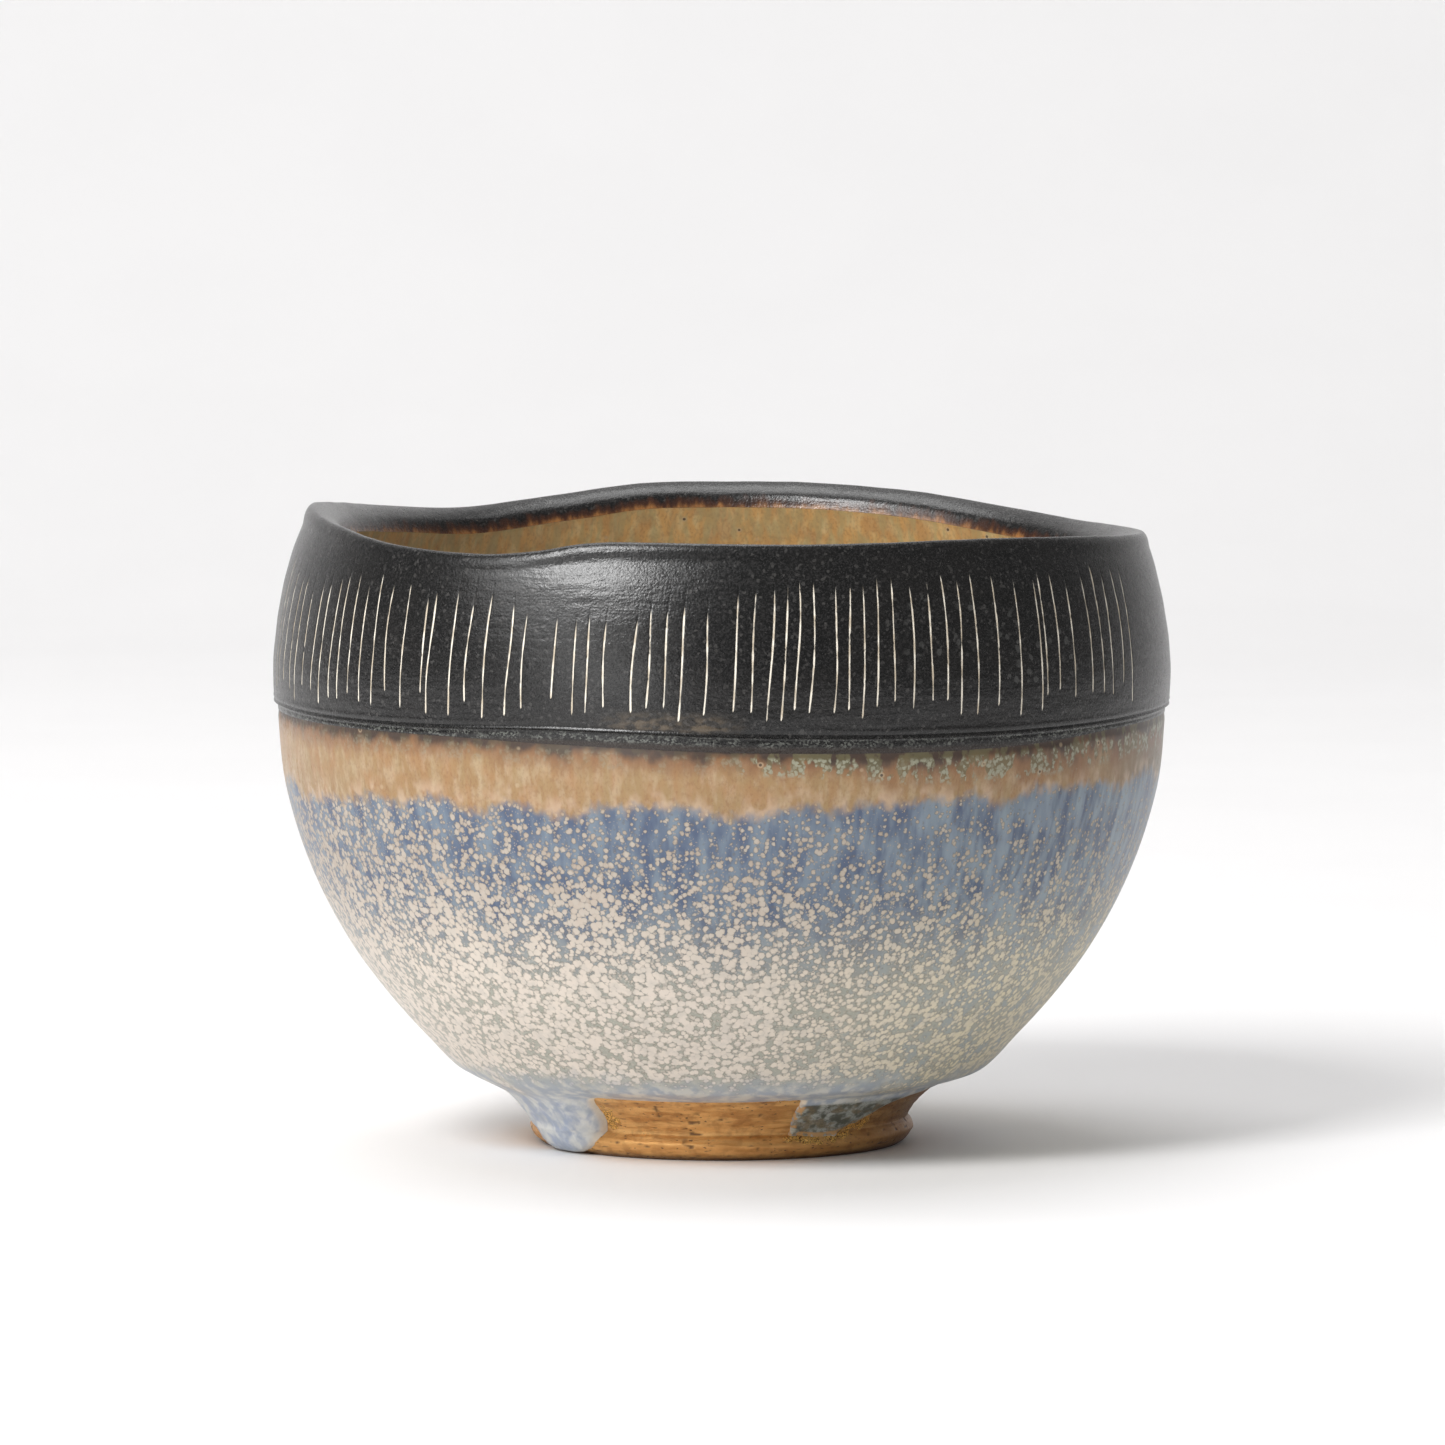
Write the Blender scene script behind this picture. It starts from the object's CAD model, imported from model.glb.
import math

import bpy
import numpy as np
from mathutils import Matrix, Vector


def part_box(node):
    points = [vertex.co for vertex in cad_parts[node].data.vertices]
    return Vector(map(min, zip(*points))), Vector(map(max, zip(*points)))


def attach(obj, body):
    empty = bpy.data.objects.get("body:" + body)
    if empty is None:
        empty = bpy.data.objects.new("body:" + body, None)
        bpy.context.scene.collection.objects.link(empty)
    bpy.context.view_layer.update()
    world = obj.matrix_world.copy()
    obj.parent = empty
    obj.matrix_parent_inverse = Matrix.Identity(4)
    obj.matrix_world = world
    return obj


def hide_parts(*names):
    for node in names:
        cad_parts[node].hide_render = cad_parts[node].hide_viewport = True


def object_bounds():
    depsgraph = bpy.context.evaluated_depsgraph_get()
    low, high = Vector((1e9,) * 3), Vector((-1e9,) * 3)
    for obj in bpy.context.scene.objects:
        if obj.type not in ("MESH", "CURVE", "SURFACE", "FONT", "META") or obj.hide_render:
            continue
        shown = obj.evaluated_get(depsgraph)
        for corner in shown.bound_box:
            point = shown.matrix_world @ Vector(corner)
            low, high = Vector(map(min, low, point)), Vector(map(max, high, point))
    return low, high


# Matcha bowl: fine surfaces for each coat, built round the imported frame. Outlines are in millimetres, azimuth
# is in degrees from the front (-Y) towards +X, and meshes are in metres.

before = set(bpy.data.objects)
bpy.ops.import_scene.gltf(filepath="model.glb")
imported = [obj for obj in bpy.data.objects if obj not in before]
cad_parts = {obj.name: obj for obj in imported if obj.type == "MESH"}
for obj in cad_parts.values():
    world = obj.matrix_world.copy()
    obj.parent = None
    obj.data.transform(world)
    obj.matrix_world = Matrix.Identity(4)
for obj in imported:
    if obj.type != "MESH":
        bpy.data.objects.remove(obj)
cad_low, cad_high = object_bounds()

MM = 0.001
# Thickness of an even coat of glaze or slip
COAT = 0.45
FOOT_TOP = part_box("foot_ring")[1].z / MM
# The size that the outlines below are drawn at, and how many times it the frame is
DRAWN_WIDTH = 120.0
DRAWN_HEIGHT = 85.4
KR = (cad_high.x - cad_low.x) / MM / DRAWN_WIDTH
KZ = cad_high.z / MM / DRAWN_HEIGHT

# Outlines of the bowl, as the frame has them, as [height, radius]
WALL_LOW = [
    [8.5, 30.0], [9.1, 32.6], [9.9, 34.9], [11.5, 36.9], [14.0, 39.2], [17.0, 42.0], [21.0, 45.4],
    [26.0, 49.1], [32.0, 52.6], [38.0, 55.3], [44.0, 57.3], [50.0, 58.65], [58.5, 59.4],
]
WALL_HIGH = [
    [58.5, 59.4], [61.5, 59.55], [64.5, 59.55], [67.5, 59.3], [71.0, 58.8], [75.0, 58.0],
    [79.0, 56.9], [84.0, 55.0],
]
INNER = [
    [18.0, 33.5], [24.0, 40.4], [32.0, 46.3], [41.0, 50.5], [50.0, 53.2], [59.0, 54.5], [66.0, 54.6],
    [73.0, 53.6], [79.0, 51.8], [84.0, 50.2],
]
FOOT = [
    [0, 24.0], [0.4, 24.6], [1.05, 25.2], [2.0, 25.7], [2.95, 25.3], [3.5, 24.95], [4.6, 25.5], [6.05, 26.7],
    [7.2, 28.0], [8.5, 29.6],
]
# The floor inside as [radius, height], and the lip as [how far in, how far down] in lip widths
FLOOR = [[0, 12.7], [10, 12.9], [18, 13.6], [26, 15.1], [33.5, 18.0]]
LIP = [[0, 0.48], [0.065, 0.19], [0.2, 0.01], [0.4, 0.05], [0.66, 0.19], [0.88, 0.40], [1, 0.75]]

# Round the bowl as [azimuth, height]. LEAN is how far the rim leans out, and SLIP_DROP how far the slip goes
# down past the ridge
RIM = [
    [-168, 85.2], [-155, 83.7], [-140, 82.5], [-124, 83.4], [-108, 84.6], [-90, 85.3], [-66, 83.8],
    [-48, 82.1], [-33, 81.5], [-25, 82.1], [-18, 83.2], [-8, 83.3], [12, 83.1], [36, 83.3], [54, 82.9],
    [78, 82.0], [104, 81.5], [120, 81.6], [135, 82.7], [150, 84.3], [166, 85.3], [180, 85.4],
]
LEAN = [
    [-180, 0], [-100, 0.1], [-70, 0], [-46, 0.8], [-30, 0.3], [-14, -1.3], [8, -1.2], [24, -0.3],
    [60, 0], [120, 0],
]
RIDGE = [
    [-150, 58.8], [-90, 59.2], [-60, 58.9], [-40, 59.0], [-21, 59.4], [3, 58.7], [22, 58.3], [42, 58.2],
    [82, 58.7], [140, 58.5],
]
SLIP_DROP = [[-140, 1.4], [-90, 1.0], [-40, 1.0], [-20, 1.9], [25, 1.9], [42, 1.6], [60, 0.9], [110, 1.0]]
AMBER_EDGE = [[-150, 49.2], [-90, 48.4], [-40, 48.8], [0, 49.0], [45, 49.6], [90, 50.0], [150, 49.4]]
INNER_EDGE = [[-120, 75.4], [-60, 74.4], [0, 75.2], [60, 74.2], [120, 75.6], [180, 74.6]]
# How far the slip's band stands out past the wall at the ridge
RIDGE_STEP = 0.45
LIP_WIDTH = 4.6
# The lip is wider by this much at the left, and by less to either side of it
LIP_SWELL = 0.9
LIP_SWELL_AZIMUTH = -90
LIP_SWELL_SPREAD = 28
RECESS_R = 19.5
RECESS_Z = 6.4

# Where the glaze came down over the foot: the thick drop, and the thin run's lower edge as [azimuth, height].
# Each one's radius turns degrees into millimetres along the foot
DROP_AZIMUTH = -54.0
DROP_HALF_WIDTH = 8.0
DROP_CORNER = 6.6
DROP_BOTTOM = 0.35
DROP_BULGE = 2.3
DROP_RADIUS = 25.6
RUN_START = 20.9
RUN_FROM = 15
RUN_EDGE = [[20, 3.3], [36, 3.1], [40, 4.0], [45, 5.0], [50, 6.6], [54, 7.4], [62, 7.9], [76, 8.4], [90, 8.8]]
RUN_END = 90
RUN_RADIUS = 26
# How far the edge of the glaze goes on under the foot's surface
SKIRT = 0.5

# Azimuths of the scratched strokes that face the front. The rest are spaced at random round the back
STROKES = [
    -72, -70, -67, -64, -61.8, -59, -57, -54.5, -52, -49.5, -47, -44, -40.6, -39.5, -36, -33.6, -31, -27.6,
    -25.5, -21.5, -18.7, -17, -14.8, -11.2, -9.4, -7.3, -5.3, -2.3, 1.3, 3.4, 5.6, 7.3, 9, 10.8, 13.8, 15.6,
    17.5, 19.3, 21.6, 24.3, 26.8, 29, 31, 33.4, 36.6, 40.2, 43.8, 44.7, 47, 50, 53.8, 56.4, 58.6, 61.5, 64,
]
# The back's strokes begin here, and this is how far apart they are
BLANK_TO = 100
BACK_GAPS = (1.7, 3.4)
# Length of one degree round the widest part of the bowl
MM_PER_DEGREE = math.radians(59.8)

rng = np.random.default_rng(11)


# ------------------------ curves and noise

def curve(points, x):
    """Smooth curve through points sorted by their first value, read at every x."""
    p = np.array(points, float)
    x = np.asarray(x, float)
    last = len(p) - 1
    before = np.maximum(np.arange(last + 1) - 1, 0)
    after = np.minimum(np.arange(last + 1) + 1, last)
    slope = (p[after, 1] - p[before, 1]) / (p[after, 0] - p[before, 0])
    i = np.clip(np.searchsorted(p[:, 0], x, side="right") - 1, 0, last - 1)
    h = p[i + 1, 0] - p[i, 0]
    t = (x - p[i, 0]) / h
    ends = (2 * t**3 - 3 * t**2 + 1) * p[i, 1] + (3 * t**2 - 2 * t**3) * p[i + 1, 1]
    return ends + h * ((t**3 - 2 * t**2 + t) * slope[i] + (t**3 - t**2) * slope[i + 1])


def around(points, phi):
    """The same, repeating every full turn."""
    p = np.array(points, float)
    turned = np.concatenate([p - [360, 0], p, p + [360, 0]])
    return curve(turned, (np.asarray(phi) + 180) % 360 - 180)


def step(x, low, high):
    """0 below low, 1 above high, smooth between."""
    t = np.clip((x - low) / (high - low), 0, 1)
    return t * t * (3 - 2 * t)


LATTICE_SIZE = 64
LATTICE = rng.uniform(-1, 1, (LATTICE_SIZE,) * 3)


def noise(x, y, z, seed=0):
    """Smooth noise from -1 to 1 with one feature per unit."""
    total = 0
    parts = []
    for value in (x, y, z):
        value = np.asarray(value, float) + 19.7 * seed
        low = np.floor(value)
        t = value - low
        parts.append((low.astype(int), t * t * (3 - 2 * t)))
    for corner in np.ndindex(2, 2, 2):
        weight = 1.0
        index = []
        for (low, t), side in zip(parts, corner):
            weight = weight * (t if side else 1 - t)
            index.append((low + side) % LATTICE_SIZE)
        total = total + weight * LATTICE[tuple(np.broadcast_arrays(*index))]
    return total


def around_noise(r, z, phi, width, height, seed=0):
    """Noise on the bowl's surface, with features of that width round it and that height up it."""
    a = np.radians(phi)
    return noise(r * np.sin(a) / width, r * np.cos(a) / width, z / height, seed)


# ------------------------ the bowl's outline

def rim_z(phi):
    return KZ * around(RIM, phi)


def ridge_z(phi):
    return KZ * around(RIDGE, phi)


def lean(phi, z):
    part = (z - ridge_z(phi)) / (rim_z(phi) - ridge_z(phi))
    return KR * around(LEAN, phi) * np.maximum(part, 0) ** 2


def lip_width(phi):
    turned = (np.asarray(phi) - LIP_SWELL_AZIMUTH + 180) % 360 - 180
    return LIP_WIDTH + LIP_SWELL * np.exp(-(turned / LIP_SWELL_SPREAD) ** 2)


def lip_start(phi):
    return rim_z(phi) - LIP[0][1] * lip_width(phi)


def low_r(z):
    return KR * curve(WALL_LOW, z / KZ)


def high_r(z, phi):
    return KR * curve(WALL_HIGH, z / KZ) + RIDGE_STEP + lean(phi, z)


def inner_r(z, phi):
    return KR * curve(INNER, z / KZ) + 0.9 * lean(phi, z)


def foot_r(z):
    return KR * curve(FOOT, z / KZ)


def slip_low(phi):
    return ridge_z(phi) - KZ * around(SLIP_DROP, phi)


def normals(r, z):
    """Outward normals of sections whose rows go up the outside, over the lip and down the inside."""
    dr = np.gradient(r, axis=0)
    dz = np.gradient(z, axis=0)
    length = np.maximum(np.hypot(dr, dz), 1e-9)
    return dz / length, -dr / length


def normals_down(r, z):
    """The same where the rows go down the outside."""
    nr, nz = normals(r[::-1], z[::-1])
    return nr[::-1], nz[::-1]


def under(r, z, keep):
    """The clay under a coat, on some of its rows, from the last to the first."""
    r = r[keep]
    z = z[keep]
    nr, nz = normals(r, z)
    return (r - COAT * nr)[::-1], (z - COAT * nz)[::-1]


def lip_section(rows):
    """The lip in rows from outside to inside: how far in and how far down, in lip widths."""
    t = np.linspace(0, len(LIP) - 1, rows + 1)[1:, None]
    inward = curve([[i, point[0]] for i, point in enumerate(LIP)], t)
    down = curve([[i, point[1]] for i, point in enumerate(LIP)], t)
    return inward, down


# ------------------------ meshes

# Edges sharper than this are shaded as edges
SHARP_FROM = math.radians(55)


def turned_mesh(name, r, z, phi, fields, caps=None):
    """Closed mesh from sections: r, z and phi are rows by columns. Without caps each section is a closed
    loop. With caps, (start height, end height), each end is closed on the axis."""
    rows, columns = r.shape
    a = np.radians(phi)
    points = np.stack([r * np.sin(a), -r * np.cos(a), z], axis=-1).reshape(-1, 3) * MM
    index = np.arange(rows * columns).reshape(rows, columns)
    right = np.roll(index, -1, axis=1)
    if caps is None:
        up = np.roll(index, -1, axis=0)
        up_right = np.roll(right, -1, axis=0)
        quads = np.stack([index, right, up_right, up], axis=-1).reshape(-1, 4)
        fans = []
    else:
        quads = np.stack([index[:-1], right[:-1], right[1:], index[1:]], axis=-1).reshape(-1, 4)
        start, end = len(points), len(points) + 1
        points = np.concatenate([points, [[0, 0, caps[0] * MM], [0, 0, caps[1] * MM]]])
        fans = [(start, right[0, j], index[0, j]) for j in range(columns)]
        fans += [(end, index[-1, j], right[-1, j]) for j in range(columns)]
    mesh = bpy.data.meshes.new(name)
    mesh.from_pydata(points.tolist(), [], quads.tolist() + [tuple(map(int, f)) for f in fans])
    for field, values in fields.items():
        made = mesh.attributes.new(field, "FLOAT", "POINT")
        flat = np.zeros(len(points), np.float32)
        flat[:values.size] = values.ravel()
        made.data.foreach_set("value", flat)
    mesh.shade_smooth()
    mesh.set_sharp_from_angle(angle=SHARP_FROM)
    piece = bpy.data.objects.new(name, mesh)
    bpy.context.scene.collection.objects.link(piece)
    return piece


def coat_piece(name, r, z, phi, keep, fields):
    """A coat between its finished surface and the clay under it, which has only the rows in keep."""
    under_r, under_z = under(r, z, keep)
    filled = {}
    for field, values in fields.items():
        filled[field] = np.concatenate([values, values[keep][::-1]])
    return turned_mesh(
        name,
        np.concatenate([r, under_r]),
        np.concatenate([z, under_z]),
        np.concatenate([phi, phi[keep][::-1]]),
        filled,
    )


def finish_piece(piece, material, slot, *nodes):
    piece.data.materials.append(material)
    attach(piece, "root")
    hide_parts(*nodes)


def even_rows(columns, rows):
    """Even azimuths, repeated for every row."""
    phi = -180 + 360 * np.arange(columns) / columns
    return np.tile(phi, (rows, 1))


def between(start, end, parts):
    """Rows of values from start to end, where both may vary round the bowl."""
    t = np.linspace(0, 1, parts)[:, None]
    return start + t * (end - start)


# ------------------------ fields that colour the glaze

def amber_line(phi):
    """Height of the soft edge between amber and blue, which hangs down in lobes."""
    middle = KZ * around(AMBER_EDGE, phi)
    broad = around_noise(58, 0, phi, 5.2, 1, 3)
    fine = around_noise(58, 0, phi, 1.9, 1, 5)
    return middle + 0.4 - 1.0 * np.abs(broad) ** 0.7 * np.sign(broad) - 0.45 * fine


# Share of the surface that the cream speckle covers, by height, at four azimuths
SPECKLE_LEFT = [[8, 0.82], [20, 0.8], [30, 0.72], [38, 0.56], [43, 0.44], [47, 0.34], [50, 0.22], [52, 0.1]]
SPECKLE_FRONT = [
    [8, 0.76], [18, 0.74], [26, 0.66], [32, 0.53], [38, 0.36], [43, 0.23], [48, 0.12], [52, 0.05],
]
SPECKLE_RIGHT = [[8, 0.7], [18, 0.66], [26, 0.54], [32, 0.4], [38, 0.26], [44, 0.15], [48, 0.08], [52, 0.04]]
SPECKLE_BACK = [
    [8, 0.74], [18, 0.72], [26, 0.64], [32, 0.52], [38, 0.37], [44, 0.25], [48, 0.15], [52, 0.06],
]
SPECKLE_INSIDE = [[12, 0.62], [20, 0.5], [40, 0.32], [60, 0.16], [76, 0.05]]
# Volume of a ball of radius 1
BALL = 4.19


def speckle_cover(z, phi):
    """How much of the glaze is cream, from 0 to 1."""
    phi = (phi + 180) % 360 - 180
    left = step(-phi, 8, 48) * step(phi, -150, -110)
    right = step(phi, 0, 26) * step(-phi, -110, -70)
    back = step(np.abs(phi), 100, 150)
    front = np.clip(1 - left - right - back, 0, 1)
    total = left + right + back + front
    cover = (
        left * curve(SPECKLE_LEFT, z) + front * curve(SPECKLE_FRONT, z)
        + right * curve(SPECKLE_RIGHT, z) + back * curve(SPECKLE_BACK, z)
    ) / total
    cover = cover * (1 + 0.22 * around_noise(50, z, phi, 9, 12, 21))
    return np.clip(cover, 0.01, 0.95)


def speckle_reach(cover):
    """Radius of the speckles, as a part of their spacing, that gives that cover."""
    return (-np.log(1 - cover) / BALL) ** (1 / 3)


def glaze_waver(r, z, phi):
    """Unevenness of the glaze outside, never outward."""
    return 0.06 * around_noise(r, z, phi, 7, 9, 14) - 0.06


def right_of_front(phi, low, high):
    """0 up to azimuth low, 1 from azimuth high, and back to 0 at the back of the bowl."""
    return step(phi, low, high) * step(-phi, -168, -115)


# Distance from the glaze's edge that is given where it has none
FAR_FROM_EDGE = 20


def tint_fields(z, phi, lobes):
    """What the glaze's colours are worked out from, where it has no open edge, drop or run."""
    return {
        "amber": z - lobes,
        "right": right_of_front(phi, -5, 55),
        "far_right": right_of_front(phi, 50, 78),
        "edge": FAR_FROM_EDGE + 0 * z,
        "drop": 0 * z,
        "run": 0 * z,
    }


# ------------------------ blue glaze outside, with its drop and run

PATH_TOP = 56
# Steps of the path when it is averaged, and how many of them an average takes in
PACE = 0.05
PACES = 151


def base_path():
    """Clay outline from the amber band down the wall and over the foot, in close steps: radius, height, and
    distance along it."""
    wall_z = np.linspace(PATH_TOP, FOOT_TOP + 0.02, 900)[:, None]
    wall_r = low_r(wall_z)
    nr, nz = normals_down(wall_r, wall_z)
    wall_r = wall_r - COAT * nr
    wall_z = wall_z - COAT * nz
    foot_z = np.linspace(FOOT_TOP - 0.35, 0.02, 400)[:, None]
    r = np.concatenate([wall_r, foot_r(foot_z)])[:, 0]
    z = np.concatenate([wall_z, foot_z])[:, 0]
    run = np.concatenate([[0], np.cumsum(np.hypot(np.diff(r), np.diff(z)))])
    return r, z, run


def rounded(a, b, k):
    """The larger of two distances, with a rounded join."""
    h = np.clip(0.5 + 0.5 * (a - b) / k, 0, 1)
    return b + (a - b) * h + k * h * (1 - h)


def softened(values, run, s):
    """The path's values at s, averaged over a few millimetres so that the thick drop has a smooth face."""
    even = np.interp(np.arange(run[0], run[-1], PACE), run, values)
    window = np.hanning(PACES)
    even = np.convolve(np.pad(even, PACES // 2, "edge"), window / window.sum(), "valid")
    return np.interp(s, np.arange(len(even)) * PACE, even)


def outer_blue_glaze(material):
    columns, rows = 600, 122
    path_r, path_z, path_s = base_path()

    def down_s(height):
        """Distance down the path to that height."""
        return np.interp(-height, -path_z, path_s)

    join = down_s(FOOT_TOP)
    phi = even_rows(columns, rows)
    line = phi[0]
    edge_wave = 0.25 * around_noise(30, 0, line, 14, 1, 8)
    level = join - 0.1 + edge_wave + 1.1 * step(np.abs(line), 95, 140)
    run_low = down_s(KZ * curve(RUN_EDGE, np.clip(line, RUN_EDGE[0][0], RUN_END)))
    run_low = np.where((line > RUN_FROM) & (line < RUN_END), run_low, 0)
    drop_low = down_s(DROP_BOTTOM)
    drop_u = (line - DROP_AZIMUTH) * math.radians(DROP_RADIUS)

    # The lowest row of each column passes the glaze's edge by a margin
    drop_reach = np.where(np.abs(drop_u) < DROP_HALF_WIDTH + 2.5, drop_low, 0)
    run_reach = np.where((line > RUN_START - 6) & (line < RUN_END), run_low + 1.2, 0)
    end = np.minimum(np.maximum(np.maximum(level + 1.4, drop_reach), run_reach), path_s[-1])
    kernel = np.hanning(11)
    end = np.convolve(np.concatenate([end[-5:], end, end[:5]]), kernel / kernel.sum(), "valid")
    start = down_s(KZ * around(AMBER_EDGE, line) + 0.1)
    s = between(start, end, rows)
    r = np.interp(s, path_s, path_r)
    z = np.interp(s, path_s, path_z)
    soft_r, soft_z = softened(path_r, path_s, s), softened(path_z, path_s, s)

    # Distance inside the glazed area, on the surface
    u = np.tile(drop_u, (rows, 1))
    du = np.abs(u) - (DROP_HALF_WIDTH - DROP_CORNER)
    dv = s - (drop_low - DROP_CORNER)
    beyond = np.hypot(np.maximum(du, 0), np.maximum(dv, 0)) + np.minimum(np.maximum(du, dv), 0)
    drop = DROP_CORNER - beyond
    run = np.minimum(run_low - s, (phi - RUN_START) * math.radians(RUN_RADIUS))
    run = np.where((phi > RUN_FROM - 5) & (phi < RUN_END + 5), run, -5)
    ragged = 0.16 * around_noise(r, z, phi, 0.9, 0.9, 12)
    run = run + ragged * 1.8 * step(z, 8.2, 6.5)
    inside = rounded(rounded(level - s, drop, 2.2), run, 0.5)

    # Thickness: an even coat with a rounded edge, and the drop's bulge
    bulge = DROP_BULGE * step(drop, -1.5, 4.6) * step(s, join - 9, drop_low - 3.2)
    pooled = 0.12 * step(s, join - 5, join - 0.8)
    thick = COAT + bulge + pooled + glaze_waver(r, z, phi)
    roll = 0.55 + 0.8 * bulge
    part = np.clip(inside / roll, 0, 1)
    depth = thick * np.sqrt(np.maximum(1 - (1 - part) ** 2, 0))
    depth = np.where(inside > 0, depth, -SKIRT * np.clip(-inside / 0.5, 0, 1))
    heavy = step(bulge, 0.15, 1.1)
    base_r, base_z = r + (soft_r - r) * heavy, z + (soft_z - z) * heavy
    nr, nz = normals_down(base_r, base_z)
    under_r, under_z = r - 1.5 * SKIRT * nr, z - 1.5 * SKIRT * nz
    finished_r, finished_z = base_r + depth * nr, np.maximum(base_z + depth * nz, 0.15)

    fields = tint_fields(z, phi, amber_line(phi))
    fields["below"] = slip_low(phi) - z
    fields["reach"] = speckle_reach(speckle_cover(z, phi))
    fields["edge"] = inside
    fields["drop"] = step(drop, -1.2, 2.2) * step(s, join - 4.5, join - 0.5)
    fields["run"] = step(run, -0.2, 0.8) * step(-z, -8.4, -6.9)
    # The section runs up the finished side and down the clay side, which has fewer rows up the wall
    keep = np.concatenate([np.arange(0, 90, 10), np.arange(90, rows)])
    order = {name: np.concatenate([v[::-1], v[keep]]) for name, v in fields.items()}
    piece = turned_mesh(
        "outer_blue_glaze_fine",
        np.concatenate([finished_r[::-1], under_r[keep]]),
        np.concatenate([finished_z[::-1], under_z[keep]]),
        np.concatenate([phi[::-1], phi[keep]]),
        order,
    )
    finish_piece(piece, material, "blue_glaze", "outer_blue_glaze", "glaze_runs")


# ------------------------ amber glaze outside

def wall_waver(r, z, phi):
    """Small hand-made unevenness of the wall, never outward."""
    rings = 0.05 * around_noise(r, z, phi, 26, 2.4, 31)
    waver = 0.07 * around_noise(r, z, phi, 13, 11, 33)
    return rings + waver - 0.12


def outer_amber_glaze(material):
    columns, rows = 600, 22
    phi = even_rows(columns, rows)
    z = between(KZ * around(AMBER_EDGE, phi[0]), slip_low(phi[0]), rows)
    r = low_r(z) + glaze_waver(low_r(z), z, phi)
    below = slip_low(phi) - z
    r = r - 0.14 * step(-below, -1.2, 0)
    fields = tint_fields(z, phi, amber_line(phi))
    fields["below"] = below
    fields["reach"] = speckle_reach(speckle_cover(z, phi))
    piece = coat_piece("outer_amber_glaze_fine", r, z, phi, np.arange(0, rows, 3), fields)
    finish_piece(piece, material, "amber_glaze", "outer_amber_glaze")


# ------------------------ black slip with its scratched strokes

# Across a stroke: distance from its middle, depth, and how much of the clay shows
GROOVE_SIDES = [-0.28, -0.125, 0, 0.125, 0.28]
GROOVE_DEPTHS = [0, 0.008, 0.07, 0.008, 0]
GROOVE_SHOWS = [0, 0.5, 1, 0.5, 0]
# Distance between columns where there is no stroke
FILL_GAP = 0.75
# Heights of a stroke's ends, and above which it is faint, as [azimuth, height]
STROKE_LOW = 61.6
STROKE_HIGH = 81.0
STROKE_HIGH_FRONT = 79.6
FAINT_ABOVE = [[-75, 78.4], [-50, 80.0], [-26, 77.8], [-16, 76.2], [-2, 78.2], [8, 81.0], [60, 81.0]]
# Rows close together at the step, as heights above the ridge
STEP_ROWS = [-0.4, -0.24, -0.1, 0.02, 0.14, 0.28, 0.45, 0.65, 0.85, 1.1]
# Small ridges and hollows that the tool left by the step: [height above the ridge, half-width, how far out]
TOOL_MARKS = [[0.12, 0.16, 0.1], [0.5, 0.14, -0.12], [0.85, 0.14, 0.06], [-0.3, 0.2, -0.1]]


def all_strokes():
    """Azimuths of every stroke from the front's left end, round to the blank stretch on the right."""
    back = [BLANK_TO]
    while back[-1] < 360 + STROKES[0] - 4:
        back.append(back[-1] + rng.uniform(*BACK_GAPS))
    return STROKES + back


def stroke_columns(strokes):
    """For each column: its azimuth, the stroke it belongs to or -1, and its place in the groove."""
    columns = []
    for i, azimuth in enumerate(strokes):
        for k, side in enumerate(GROOVE_SIDES):
            columns.append((azimuth + side / MM_PER_DEGREE, i, k))
        low = azimuth + GROOVE_SIDES[-1] / MM_PER_DEGREE
        following = strokes[i + 1] if i + 1 < len(strokes) else strokes[0] + 360
        high = following + GROOVE_SIDES[0] / MM_PER_DEGREE
        parts = max(1, round((high - low) * MM_PER_DEGREE / FILL_GAP))
        for j in range(1, parts):
            columns.append((low + (high - low) * j / parts, -1, 0))
    return columns


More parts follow.
